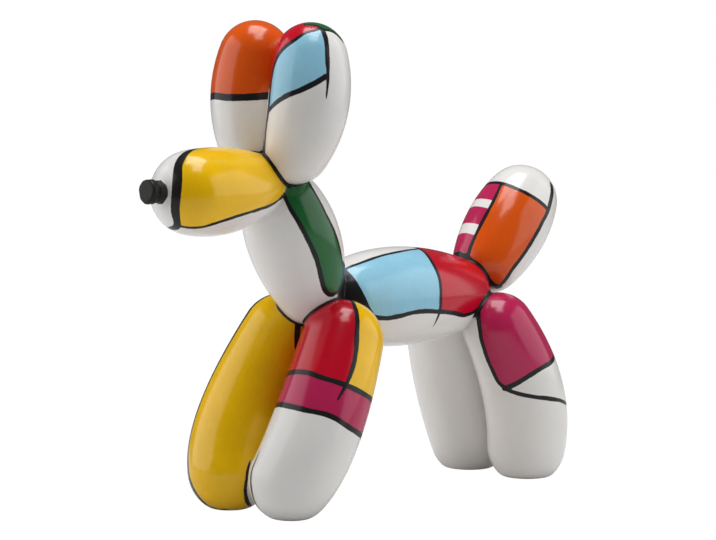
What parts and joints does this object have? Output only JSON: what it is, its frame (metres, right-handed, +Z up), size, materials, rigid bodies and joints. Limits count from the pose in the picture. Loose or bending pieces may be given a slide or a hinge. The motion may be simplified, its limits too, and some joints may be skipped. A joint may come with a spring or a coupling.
{
  "type": "balloon dog figurine",
  "caption": "Standing balloon poodle figurine with rounded sausage segments, upright ears, raised tail, tied-knot nose and painted colour fields.",
  "frame": {"origin": "on the table plane, under the middle of the figure's length and width", "axes": "+Z up, the dog faces -X, its left side faces -Y"},
  "size_m": [0.3606, 0.1178, 0.2999],
  "materials": {
    "painted_resin": "gloss"
  },
  "bodies": {
    "root": {"balloon_poodle": "painted_resin"}
  },
  "joints": []
}
